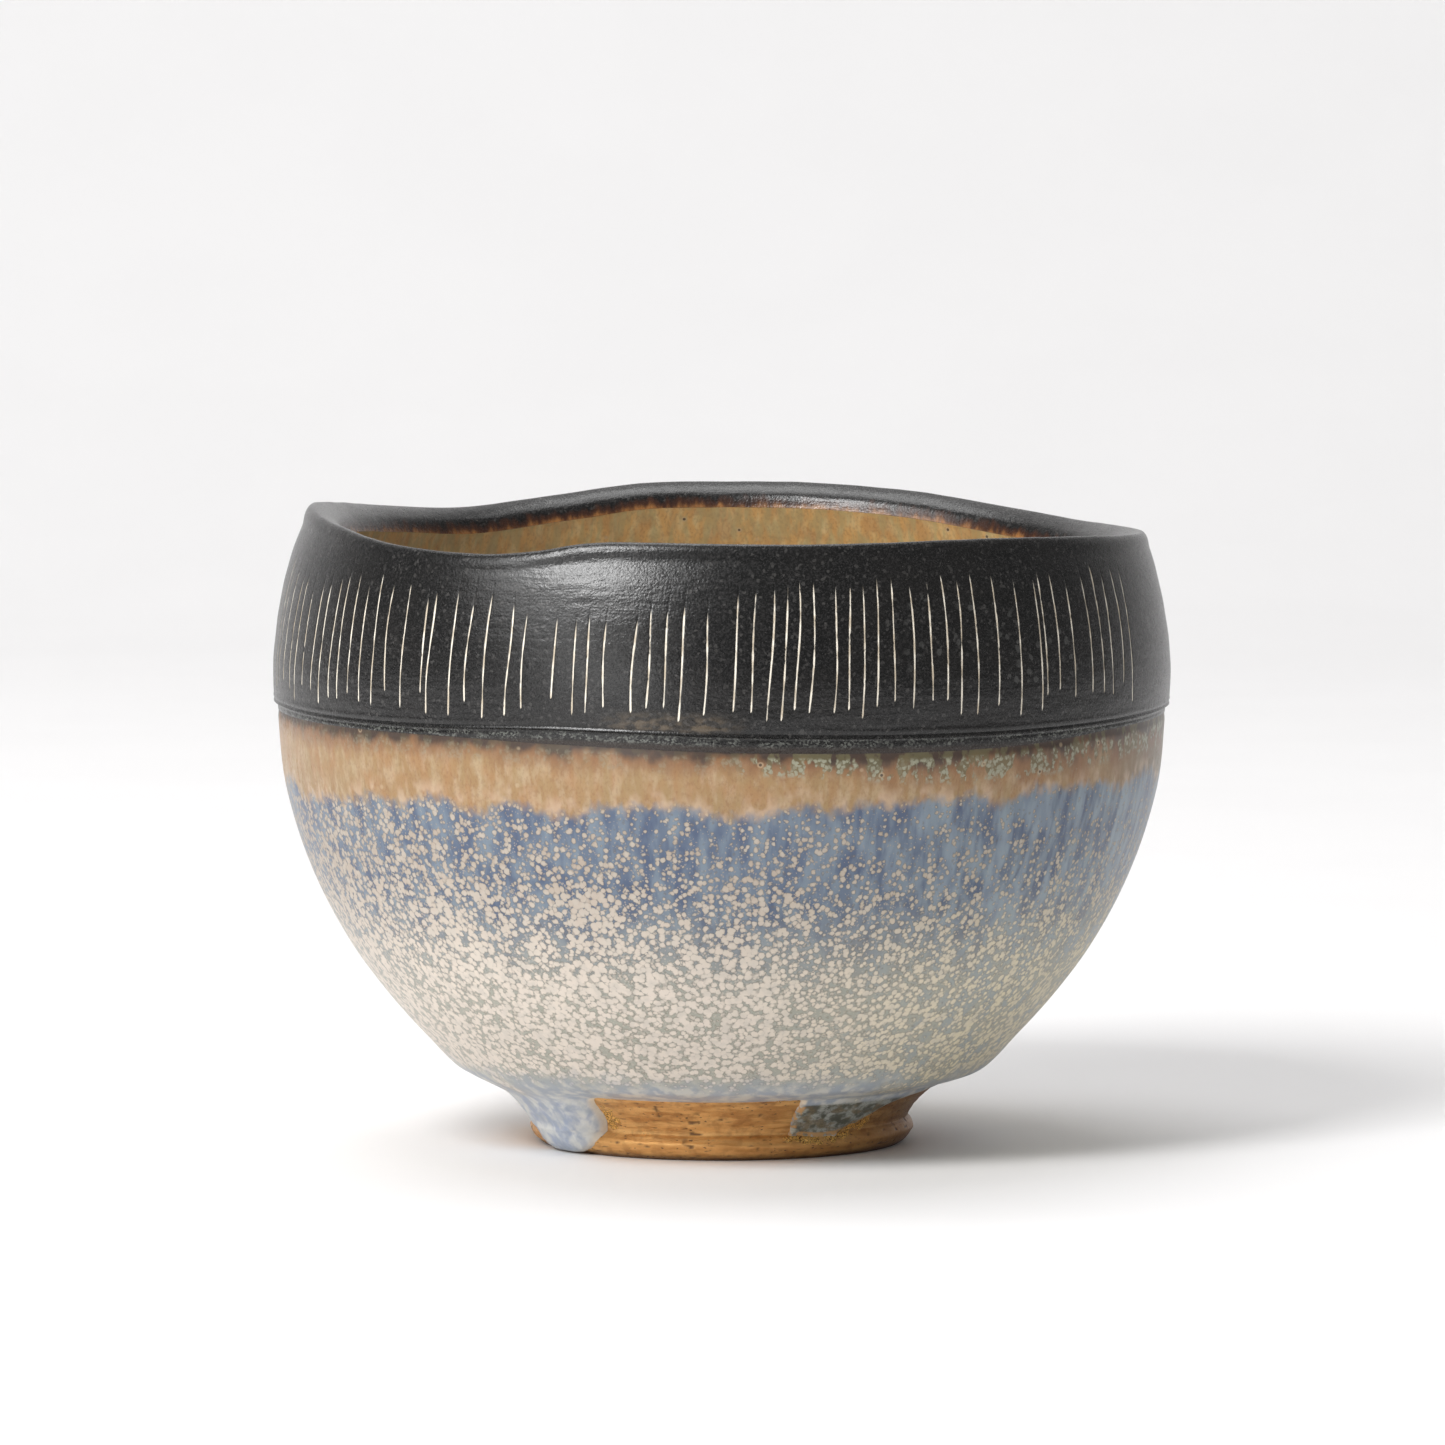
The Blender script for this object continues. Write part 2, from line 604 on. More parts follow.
def black_slip(material):
    strokes = all_strokes()
    count = len(strokes)
    columns = stroke_columns(strokes)
    base = np.array([c[0] for c in columns])
    owner = np.array([c[1] for c in columns])
    place = np.array([c[2] for c in columns])
    middle = np.array(strokes, float)
    tilt = 0.45 + 0.8 * np.exp(-((middle - 8) / 14) ** 2) + rng.uniform(-0.22, 0.22, count)
    sway = rng.uniform(-0.2, 0.2, count)
    phase = rng.uniform(0, 6.28, count)
    bottom = STROKE_LOW + rng.uniform(-1.2, 1.8, count)
    top = np.where((middle > -24) & (middle < 0), STROKE_HIGH_FRONT, STROKE_HIGH)
    top = top + rng.uniform(-1.2, 0.6, count)
    faint = np.interp(middle, *np.transpose(FAINT_ABOVE)) + rng.uniform(-0.9, 0.9, count)

    def path(z):
        """How far each stroke has wandered at those heights, in degrees: rows by strokes."""
        height = np.clip(z, 60, 82)[:, None]
        drift = tilt * (height - 61) / 18 + sway * np.sin(height / 3.1 + phase)
        return drift / MM_PER_DEGREE

    # Rows: close together at the step, even up the wall, then over the lip
    ridge = ridge_z(base)
    under_step = between(slip_low(base), ridge + STEP_ROWS[0], 5)[:-1]
    at_step = ridge + np.array(STEP_ROWS)[:, None]
    wall = between(ridge + STEP_ROWS[-1], lip_start(base), 46)[1:]
    z_wall = np.concatenate([under_step, at_step, wall])
    reference = np.median(z_wall, axis=1)
    wander = path(reference)
    ring_azimuth = np.concatenate([middle - 360, middle, middle + 360])
    drift = np.stack([np.interp(base, ring_azimuth, np.tile(row, 3)) for row in wander])
    phi_wall = base + drift
    z_wall = z_wall + (ridge_z(phi_wall) - ridge) * step(z_wall, 70, 60)
    z_wall = z_wall + (lip_start(phi_wall) - lip_start(base)) * step(z_wall, 66, 79)

    side = step(z_wall - ridge_z(phi_wall), -0.12, 0.2)
    r_wall = low_r(z_wall) * (1 - side) + high_r(z_wall, phi_wall) * side
    from_step = z_wall - ridge_z(phi_wall)
    for height, width, out in TOOL_MARKS:
        r_wall = r_wall + out * np.exp(-((from_step - height) / width) ** 2)
    r_wall = r_wall + wall_waver(r_wall, z_wall, phi_wall)

    # Grooves
    depth = np.zeros_like(r_wall)
    shows = np.zeros_like(r_wall)
    in_stroke = owner >= 0
    who = owner[in_stroke]
    zs = z_wall[:, in_stroke]
    present = step(zs, bottom[who] - 0.15, bottom[who] + 0.3) * step(-zs, -top[who], -top[who] + 3.5)
    pressed = 0.85 + 0.3 * noise(zs / 1.3, who * 7.1, 0.5)
    bright = step(zs, bottom[who] - 0.15, bottom[who] + 0.3) * step(-zs, -faint[who], -faint[who] + 5.0)
    present = present * (0.14 + 0.86 * bright)
    depth[:, in_stroke] = np.array(GROOVE_DEPTHS)[place[in_stroke]] * present * pressed
    shows[:, in_stroke] = np.array(GROOVE_SHOWS)[place[in_stroke]] * bright * pressed
    r_wall = r_wall - depth

    # The lip
    inward, down = lip_section(24)
    phi_lip = np.tile(phi_wall[-1], (len(inward), 1))
    width = lip_width(phi_lip)
    r_lip = r_wall[-1] - inward * width
    z_lip = rim_z(phi_lip) - down * width - 0.02
    z_lip = z_lip - 0.04 * (1 + around_noise(r_lip, z_lip, phi_lip, 3, 3, 41)) * step(inward, 0.02, 0.3)

    r = np.concatenate([r_wall, r_lip])
    z = np.concatenate([z_wall, z_lip])
    phi = np.concatenate([phi_wall, phi_lip])
    zero = np.zeros_like(r_lip)
    thinned = np.where(inward > 0.5, z_lip - lip_inner_end(phi_lip)[1], 9)
    fields = {
        "scratch": np.concatenate([shows, zero]),
        "thinned": np.concatenate([0 * r_wall + 9, thinned]),
        "above": z - ridge_z(phi),
        "smear": step(phi, -17, -9) * step(-phi, -4, 2),
        "spots": right_of_front(phi, 18, 30),
    }
    # The clay side has some rows by the step, every sixth up the wall, and every second over the lip
    up_wall = np.arange(14, len(z_wall), 6)
    over_lip = np.arange(len(z_wall), len(r), 2)
    keep = np.unique(np.concatenate([[0, 4, 8, 11], up_wall, over_lip, [len(r) - 1]]))
    piece = coat_piece("black_slip_fine", r, z, phi, keep, fields)
    finish_piece(piece, material, "black_slip", "black_slip")


# ------------------------ glaze inside

INNER_BAND_ROWS = 16
INNER_WALL_ROWS = 59
INNER_FLOOR_ROWS = 33


def lip_inner_end(phi):
    """Radius and height where the slip stops inside."""
    width = lip_width(phi)
    start = lip_start(phi)
    return high_r(start, phi) - 0.12 - width, rim_z(phi) - LIP[-1][1] * width


def inner_skin(line):
    """Finished inside surface from the slip's edge to the floor, at those azimuths: radius and height."""
    end_r, end_z = lip_inner_end(line)
    edge = KZ * around(INNER_EDGE, line)
    z_band = between(end_z, edge, INNER_BAND_ROWS)
    wall = inner_r(z_band, line)
    offset = (end_r - wall[0]) * np.exp(-((end_z - z_band) / 3.2) ** 2)
    r_band = wall + offset
    floor_r, floor_z = FLOOR[-1]
    z_wall = between(edge, floor_z * KZ, INNER_WALL_ROWS + 1)[1:]
    r_wall = inner_r(z_wall, line)
    across = np.linspace(floor_r, 1.5, INNER_FLOOR_ROWS + 1)[1:, None]
    r_floor = np.repeat(across * KR, len(line), axis=1)
    z_floor = KZ * curve(FLOOR, r_floor / KR)
    return np.concatenate([r_band, r_wall, r_floor]), np.concatenate([z_band, z_wall, z_floor])


def inner_glazes(material):
    columns = 480
    phi = even_rows(columns, INNER_BAND_ROWS + INNER_WALL_ROWS + INNER_FLOOR_ROWS)
    r, z = inner_skin(phi[0])
    rings = 0.1 * around_noise(r, z, phi, 30, 3.6, 51) + 0.06 * around_noise(r, z, phi, 12, 12, 52)
    spiral = 0.09 * np.sin(2 * np.pi * (r / 3.4 - phi / 360)) * step(-r, -26, -12)
    nr, nz = normals(r, z)
    r = r + (rings + spiral) * nr * step(np.arange(len(r))[:, None], 1, 5)
    z = z + (rings + spiral) * nz * step(np.arange(len(r))[:, None], 1, 5)
    end_z = lip_inner_end(phi[0])[1]
    wet = around_noise(54, 0, phi, 4.2, 1, 61)
    line = KZ * around(INNER_EDGE, phi) - 0.4 - 1.6 * np.abs(wet) + 0.6 * around_noise(54, 0, phi, 1.7, 1, 62)
    cover = np.clip(curve(SPECKLE_INSIDE, z), 0.02, 0.9)
    fields = tint_fields(z, phi, line)
    fields["right"] = 0 * z
    fields["far_right"] = 0 * z
    fields["below"] = end_z - z
    fields["reach"] = speckle_reach(cover * (1 + 0.3 * around_noise(50, z, phi, 9, 12, 22)))
    band = slice(0, INNER_BAND_ROWS)
    top = {name: values[band] for name, values in fields.items()}
    keep = np.arange(0, INNER_BAND_ROWS, 3)
    piece = coat_piece("inner_amber_glaze_fine", r[band], z[band], phi[band], keep, top)
    finish_piece(piece, material, "amber_glaze", "inner_amber_glaze")

    # The blue starts on the amber's last row
    rest = slice(INNER_BAND_ROWS - 1, None)
    r, z, phi = r[rest], z[rest], phi[rest]
    keep = np.unique(np.append(np.arange(0, len(r), 6), len(r) - 1))
    under_r, under_z = under(r, z, keep)
    section = {}
    for name, values in fields.items():
        section[name] = np.concatenate([values[rest][keep][::-1], values[rest]])
    piece = turned_mesh(
        "inner_blue_glaze_fine",
        np.concatenate([under_r, r]),
        np.concatenate([under_z, z]),
        np.concatenate([phi[keep][::-1], phi]),
        section,
        caps=(KZ * FLOOR[0][1] - COAT, float(z[-1].mean())),
    )
    finish_piece(piece, material, "blue_glaze", "inner_blue_glaze")


# ------------------------ clay body and foot

# The clay's skin is a little deeper than the coats, so that it shows through none of them
CLAY_DEPTH = COAT + 0.1
SEAT_R = 29.4


def clay_body(material):
    columns = 360
    line = even_rows(columns, 1)[0]
    ones = np.ones(columns)
    recess = np.linspace(0.6, RECESS_R, 40)[:, None] * ones
    turning = 0.1 * np.sin(2 * np.pi * (recess / 2.3 - line / 360)) * step(recess, 0.5, 3)
    button = 0.7 * np.exp(-((recess / 2.2) ** 2))
    recess_z = RECESS_Z - 0.1 + turning - button - 0.25 * step(recess, 17.5, RECESS_R)
    wall_z = between(FOOT_TOP + 0.1, ridge_z(line) - 0.1, 60)
    wall_r = low_r(wall_z)
    high_z = between(ridge_z(line) + 0.6, lip_start(line), 20)
    high = high_r(high_z, line)
    inward, down = lip_section(12)
    lip_r = high[-1] - inward * lip_width(line)
    lip_z = rim_z(line) - down * lip_width(line)
    inner, inner_z = inner_skin(line)
    inner, inner_z = inner[2::3], inner_z[2::3]
    skin_r = np.concatenate([wall_r, high, lip_r, inner])
    skin_z = np.concatenate([wall_z, high_z, lip_z, inner_z])
    nr, nz = normals(skin_r, skin_z)
    skin_r = skin_r - CLAY_DEPTH * nr
    skin_z = skin_z - CLAY_DEPTH * nz
    seat_r = np.array([[RECESS_R], [SEAT_R * KR]]) * ones
    seat_z = np.array([[FOOT_TOP], [FOOT_TOP]]) * ones
    r = np.concatenate([recess, seat_r, skin_r])
    z = np.concatenate([recess_z, seat_z, skin_z])
    phi = even_rows(columns, len(r))
    caps = (float(recess_z[0].mean()), float(skin_z[-1].mean()))
    piece = turned_mesh("clay_body_fine", r, z, phi, {}, caps)
    finish_piece(piece, material, "stoneware", "clay_body")


def foot_ring(material):
    columns = 540
    ones = np.ones(columns)
    z_out = np.linspace(0, FOOT_TOP, 74)[:, None] * ones
    r_out = foot_r(z_out)
    phi_out = even_rows(columns, len(z_out))
    bead = np.exp(-((z_out - 2.0) / 0.8) ** 2)
    lines = around_noise(25, z_out, phi_out, 5.5, 0.42, 71) * 0.05
    lines = lines + around_noise(25, z_out, phi_out, 2.0, 0.22, 72) * 0.03
    pit_noise = around_noise(25, z_out, phi_out, 0.95, 0.36, 73)
    pits = 0.08 * step(pit_noise, 0.66, 0.92)
    lumps = bead * 0.16 * around_noise(25, z_out, phi_out, 7, 3, 74)
    free = step(z_out, 0, 0.5)
    r_out = r_out + (lines - pits + lumps) * free
    edge = 0.9
    contact_r = np.array([[22.9], [21.6], [RECESS_R + edge]]) * ones
    contact_z = np.zeros((3, 1)) * ones
    z_in = np.linspace(0.27, FOOT_TOP, 26)[:, None] * ones
    r_in = RECESS_R + 0.36 * step(-z_in, -edge, -0.2)
    r_in = r_in + 0.05 * around_noise(20, z_in, even_rows(columns, len(z_in)), 6, 0.9, 75)
    # The section runs up the outside, across the hidden top, down the recess and along the contact face
    r = np.concatenate([r_out, r_in[::-1], contact_r[::-1]])
    z = np.concatenate([z_out, z_in[::-1], contact_z[::-1]])
    phi = even_rows(columns, len(r))
    filler = np.zeros((len(r) - len(z_out), columns))
    pitted = np.concatenate([step(pit_noise, 0.55, 0.85) * free, filler])
    flake_a = np.exp(-(((phi + 34) / 2.4) ** 2) - ((z - 5.4) / 1.6) ** 2)
    flake_b = np.exp(-(((phi - 30) / 10) ** 2) - ((z - 2.9) / 0.9) ** 2)
    flake_c = np.exp(-(((phi - 44) / 6) ** 2) - ((z - 4.4) / 1.1) ** 2)
    flakes = np.clip(1.2 * flake_a + 1.3 * flake_b + flake_c, 0, 1) * (r > 23)
    fields = {
        "pit": pitted,
        "flake": flakes,
        "bead": np.concatenate([bead, filler]),
        "right": right_of_front(phi, 20, 75),
        "low": step(-z, -1.1, -0.1),
    }
    piece = turned_mesh("foot_ring_fine", r, z, phi, fields)
    finish_piece(piece, material, "foot_lustre", "foot_ring")


# ------------------------ materials

def srgb(red, green, blue):
    """Linear colour of an sRGB colour given from 0 to 255."""
    given = (red, green, blue)
    return (*(((c / 255 + 0.055) / 1.055) ** 2.4 if c > 10 else c / 3294.6 for c in given), 1.0)


class Tree:
    """A material's node tree, with shorthand for the nodes used here. Lengths in it are millimetres."""

    def __init__(self, name, ior=1.5):
        self.material = bpy.data.materials.new(name)
        self.material.use_nodes = True
        self.nodes = self.material.node_tree.nodes
        self.links = self.material.node_tree.links
        self.shader = self.nodes["Principled BSDF"]
        self.put(ior, self.shader.inputs["IOR"])
        where = self.add("TexCoord", {}).outputs["Object"]
        self.place = self.add("VectorMath", {"operation": "SCALE"}, where, Scale=1 / MM).outputs[0]

    def put(self, value, socket):
        if isinstance(value, bpy.types.NodeSocket):
            self.links.new(value, socket)
        else:
            socket.default_value = value

    def add(self, kind, settings, *values, **named):
        """A new node, with its settings and with what goes into its sockets in order or by name."""
        node = self.nodes.new("ShaderNode" + kind)
        for setting, value in settings.items():
            setattr(node, setting, value)
        for socket, value in [*enumerate(values), *named.items()]:
            self.put(value, node.inputs[socket])
        return node

    def calc(self, operation, *values):
        return self.add("Math", {"operation": operation}, *values).outputs[0]

    def plus(self, value, other):
        return self.calc("ADD", value, other)

    def less(self, value, other):
        return self.calc("SUBTRACT", value, other)

    def line(self, value, slope, start):
        return self.calc("MULTIPLY_ADD", value, slope, start)

    def times(self, *values):
        total = values[0]
        for value in values[1:]:
            total = self.calc("MULTIPLY", total, value)
        return total

    def fade(self, value, low, high, start=0.0, end=1.0):
        """start where value is at low, end where it is at high, smooth between."""
        smooth = {"interpolation_type": "SMOOTHSTEP"}
        return self.add("MapRange", smooth, value, low, high, start, end).outputs[0]

    def mix(self, share, low, high):
        node = self.add("Mix", {"data_type": "RGBA"}, share)
        self.put(low, node.inputs[6])
        self.put(high, node.inputs[7])
        return node.outputs[2]

    def read(self, field):
        return self.add("Attribute", {"attribute_name": field}).outputs["Fac"]

    def size(self, width, height, vector=None):
        """Coordinates in which a feature of that width and height is one unit."""
        scale = (1 / width, 1 / width, 1 / height)
        return self.add("Mapping", {}, Vector=vector or self.place, Scale=scale).outputs[0]

    def noise(self, vector, detail):
        return self.add("TexNoise", {}, Vector=vector, Scale=1.0, Detail=detail).outputs

    def grain(self, width, height, detail=2.0, vector=None):
        """Noise from 0 to 1 about 0.5."""
        return self.noise(self.size(width, height, vector), detail)["Fac"]

    def cells(self, width, height, vector=None, feature="F1"):
        """Distance to the nearest of scattered points, and that point's own random number."""
        place = self.size(width, height, vector)
        found = self.add("TexVoronoi", {"feature": feature}, Vector=place, Scale=1.0).outputs
        if feature != "F1":
            return found["Distance"], None
        return found["Distance"], self.add("SeparateColor", {}, found["Color"]).outputs[0]

    def shaken(self, amount, width):
        """The place moved about by noise, so that what is drawn in it has crooked edges."""
        shift = self.noise(self.size(width, width), 2.0)["Color"]
        reach = (2 * amount,) * 3
        return self.add("VectorMath", {"operation": "MULTIPLY_ADD"}, shift, reach, self.place).outputs[0]

    def look(self, colour, roughness):
        self.put(colour, self.shader.inputs["Base Color"])
        self.put(roughness, self.shader.inputs["Roughness"])

    def bumps(self, height, depth):
        """Relief that is depth millimetres high where height goes from 0 to 1."""
        node = self.add("Bump", {}, Strength=1.0, Distance=depth * MM, Height=height)
        self.put(node.outputs[0], self.shader.inputs["Normal"])


CREAM_LEFT = srgb(226, 215, 202)
CREAM_RIGHT = srgb(222, 212, 184)
CREAM_HIGH = srgb(158, 142, 126)
CREAM_GREY = srgb(196, 190, 180)
DEEP_BLUE = srgb(76, 90, 116)
PALE_BLUE = srgb(130, 144, 154)
RUN_BLUE = srgb(150, 164, 174)
LOW_BLUE = srgb(178, 176, 160)
RIM_BROWN = srgb(104, 94, 80)
POOLED_BLUE = srgb(205, 204, 198)
TAN = srgb(156, 124, 84)
TAN_PALE = srgb(186, 164, 134)
TAN_RED = srgb(166, 120, 78)
TAN_SCORCHED = srgb(126, 86, 58)
TAN_RIGHT = srgb(92, 80, 58)
LOBE_PINK = srgb(198, 172, 148)
DARK_BROWN = srgb(70, 56, 48)
OLIVE = srgb(104, 98, 70)
INNER_TAN = srgb(204, 158, 98)
INNER_TAN_PALE = srgb(214, 190, 140)
CRYSTAL = srgb(158, 158, 138)


def glaze_material(name, dark_left, dark_right, tan_deep, tan_pale, runny):
    """Amber glaze that turns to blue with a cream speckle. dark_left and dark_right are how far below the
    slip it is dark, on the left and on the right of the bowl. runny is the share of its greenish streaks."""
    t = Tree(name)
    amber = t.read("amber")
    below = t.read("below")
    reach = t.read("reach")
    edge = t.read("edge")
    drop = t.read("drop")
    run = t.read("run")
    right = t.read("right")

    # Blue ground with paler streaks that ran down it
    streak = t.fade(t.grain(1.5, 13, 3), 0.38, 0.64)
    blotch = t.fade(t.grain(3.5, 6, 2), 0.4, 0.62)
    pale = t.line(blotch, 0.3, t.times(streak, t.fade(right, 0, 1, 0.45, 0.7)))
    ground = t.mix(pale, DEEP_BLUE, PALE_BLUE)
    ground = t.mix(t.fade(amber, -11, -28, 0, 0.85), ground, LOW_BLUE)
    runs = t.times(t.fade(t.grain(2.6, 18, 2), 0.5, 0.62), right)
    ground = t.mix(t.times(runs, 0.5), ground, RUN_BLUE)

    # Cream speckle: scattered dots that grow together into a maze lower down
    crooked = t.shaken(0.24, 0.6)
    near, own = t.cells(0.8, 0.86, crooked)
    fine_near, _ = t.cells(0.44, 0.46, crooked)
    open_edge = t.plus(edge, t.line(t.grain(3, 3, 2), 6, -3))
    clear = t.times(t.fade(open_edge, 5, 10, 0.2, 1), t.fade(drop, 0.1, 0.8, 1, 0.3))
    clear = t.times(clear, t.fade(run, 0, 0.5, 1, 0))
    patchy = t.fade(t.grain(2.6, 3.2, 3), 0.34, 0.66, 0.76, 1.16)
    thinner = t.line(runs, -0.28, 1)
    grown = t.calc("MINIMUM", t.times(reach, t.fade(own, 0, 1, 0.82, 1.18), clear, patchy, thinner), 0.7)
    depth_in = t.less(grown, near)
    dots = t.fade(depth_in, -0.03, 0.05)
    small = t.fade(t.less(t.times(grown, 0.66), fine_near), -0.04, 0.05)
    cream = t.calc("MAXIMUM", dots, t.times(small, 0.7))
    halo = t.fade(depth_in, -0.16, -0.02, 0, 0.4)
    cream_colour = t.mix(right, CREAM_LEFT, CREAM_RIGHT)
    cream_colour = t.mix(t.fade(amber, -27, -5, 0, 0.8), cream_colour, CREAM_HIGH)
    cream_colour = t.mix(t.fade(t.grain(1.2, 1.6, 3), 0.38, 0.68, 0, 0.45), cream_colour, CREAM_GREY)
    cream_colour = t.mix(t.fade(depth_in, 0.2, 0.02, 0, 0.3), cream_colour, RIM_BROWN)
    colour = t.mix(halo, ground, RIM_BROWN)
    colour = t.mix(cream, colour, cream_colour)

    # The pooled edge over the foot, the marbled drop and the crackled thin run
    pool = t.fade(open_edge, 10.5, 4.5, 0, 0.85)
    colour = t.mix(pool, colour, t.mix(t.fade(t.grain(2, 2, 3), 0.4, 0.62), srgb(152, 162, 176), POOLED_BLUE))
    marble = t.fade(t.grain(2.0, 3.4, 4, t.shaken(1.0, 3)), 0.4, 0.6)
    marbled = t.mix(marble, srgb(156, 166, 186), srgb(210, 211, 208))
    colour = t.mix(t.times(drop, t.fade(t.grain(1.1, 2.4, 3), 0.36, 0.6, 0.55, 0.95)), colour, marbled)
    cracks, _ = t.cells(0.9, 0.7, t.shaken(0.5, 0.9), "DISTANCE_TO_EDGE")
    crackle = t.mix(t.fade(t.grain(1.6, 1.4, 4), 0.4, 0.6), srgb(72, 74, 58), srgb(164, 168, 160))
    crackle = t.mix(t.fade(t.grain(2.6, 1.4, 3), 0.5, 0.6, 0, 0.7), crackle, srgb(112, 92, 52))
    crackle = t.mix(t.fade(cracks, 0.07, 0.01, 0, 0.5), crackle, srgb(48, 42, 36))
    colour = t.mix(t.fade(run, 0.02, 0.3, 0, 0.92), colour, crackle)
    flakes = t.times(t.fade(run, 0.02, 0.1), t.fade(edge, 0.9, 0.4), t.fade(t.grain(0.9, 0.8, 3), 0.47, 0.53))
    colour = t.mix(t.times(flakes, 0.9), colour, srgb(190, 138, 72))
    rim_line = t.times(t.fade(edge, 0.7, 0.3), t.fade(edge, -0.2, 0.05), t.fade(run, 0, 0.08, 1, 0.15))
    colour = t.mix(t.times(rim_line, t.fade(drop, 0, 0.6, 0.85, 0.2)), colour, srgb(232, 216, 190))

    # Amber above: dark under the slip, tan with soft pale streaks, pinkish where its lobes end
    fall = t.fade(t.grain(1.1, 3.0, 3), 0.38, 0.74)
    tan = t.mix(t.times(fall, 0.7), tan_deep, tan_pale)
    tan = t.mix(t.fade(t.grain(2.4, 3.2, 3), 0.42, 0.66, 0, 0.4), tan, TAN_RED)
    tan = t.mix(t.fade(t.grain(0.35, 0.5, 2), 0.45, 0.7, 0, 0.3), tan, TAN_SCORCHED)
    tan = t.mix(t.times(t.fade(t.grain(1.3, 7, 3), 0.42, 0.62), runny), tan, srgb(160, 150, 108))
    tan = t.mix(t.times(t.read("far_right"), 0.75), tan, TAN_RIGHT)
    lobe = t.times(t.fade(amber, 2.8, 0.5), t.fade(t.grain(2.2, 3.4, 2), 0.46, 0.62))
    tan = t.mix(t.times(lobe, 0.55), tan, LOBE_PINK)
    dark_depth = t.fade(right, 0, 0.7, dark_left, dark_right)
    drip = t.line(t.grain(3.0, 4.5, 4), 2.4, -1.2)
    sunk = t.calc("DIVIDE", below, dark_depth)
    browned = t.plus(sunk, drip)
    tan = t.mix(t.fade(browned, 2.0, 0.7, 0, 0.7), tan, TAN_SCORCHED)
    tan = t.mix(t.fade(browned, 1.0, 0.1), tan, DARK_BROWN)
    patch = t.times(t.fade(t.grain(1.4, 2.4, 3), 0.48, 0.56), t.fade(right, 0.0, 0.1, 0.25, 1))
    crystal, kind = t.cells(0.5, 0.5, t.shaken(0.3, 0.6))
    crystals = t.times(patch, t.fade(sunk, 1.7, 1.3), t.fade(sunk, 0.2, 0.45), t.fade(crystal, 0.78, 0.4))
    tan = t.mix(t.times(patch, t.fade(sunk, 1.6, 1.0), 0.75), tan, OLIVE)
    tan = t.mix(t.times(crystals, t.fade(kind, 0.1, 0.5), 0.85), tan, CRYSTAL)
    flecks, fleck_kind = t.cells(2.6, 2.4)
    pit = t.times(t.fade(fleck_kind, 0.8, 0.82), t.fade(flecks, 0.1, 0.07))
    tan = t.mix(t.times(t.fade(fleck_kind, 0.8, 0.82), t.fade(flecks, 0.2, 0.12), 0.5), tan, TAN_PALE)
    tan = t.mix(t.times(pit, 0.85), tan, srgb(60, 44, 34))
    turn = t.plus(amber, t.line(t.grain(1.3, 2.2, 4), 3.2, -1.6))
    colour = t.mix(t.fade(turn, -1.2, 0.9), colour, tan)
    t.look(colour, t.line(t.grain(0.5, 0.5, 2), 0.12, t.line(cream, 0.12, 0.27)))
    relief = t.line(cream, 0.55, t.times(t.grain(0.45, 0.5, 3), 0.7))
    t.bumps(relief, 0.018)
    return t.material


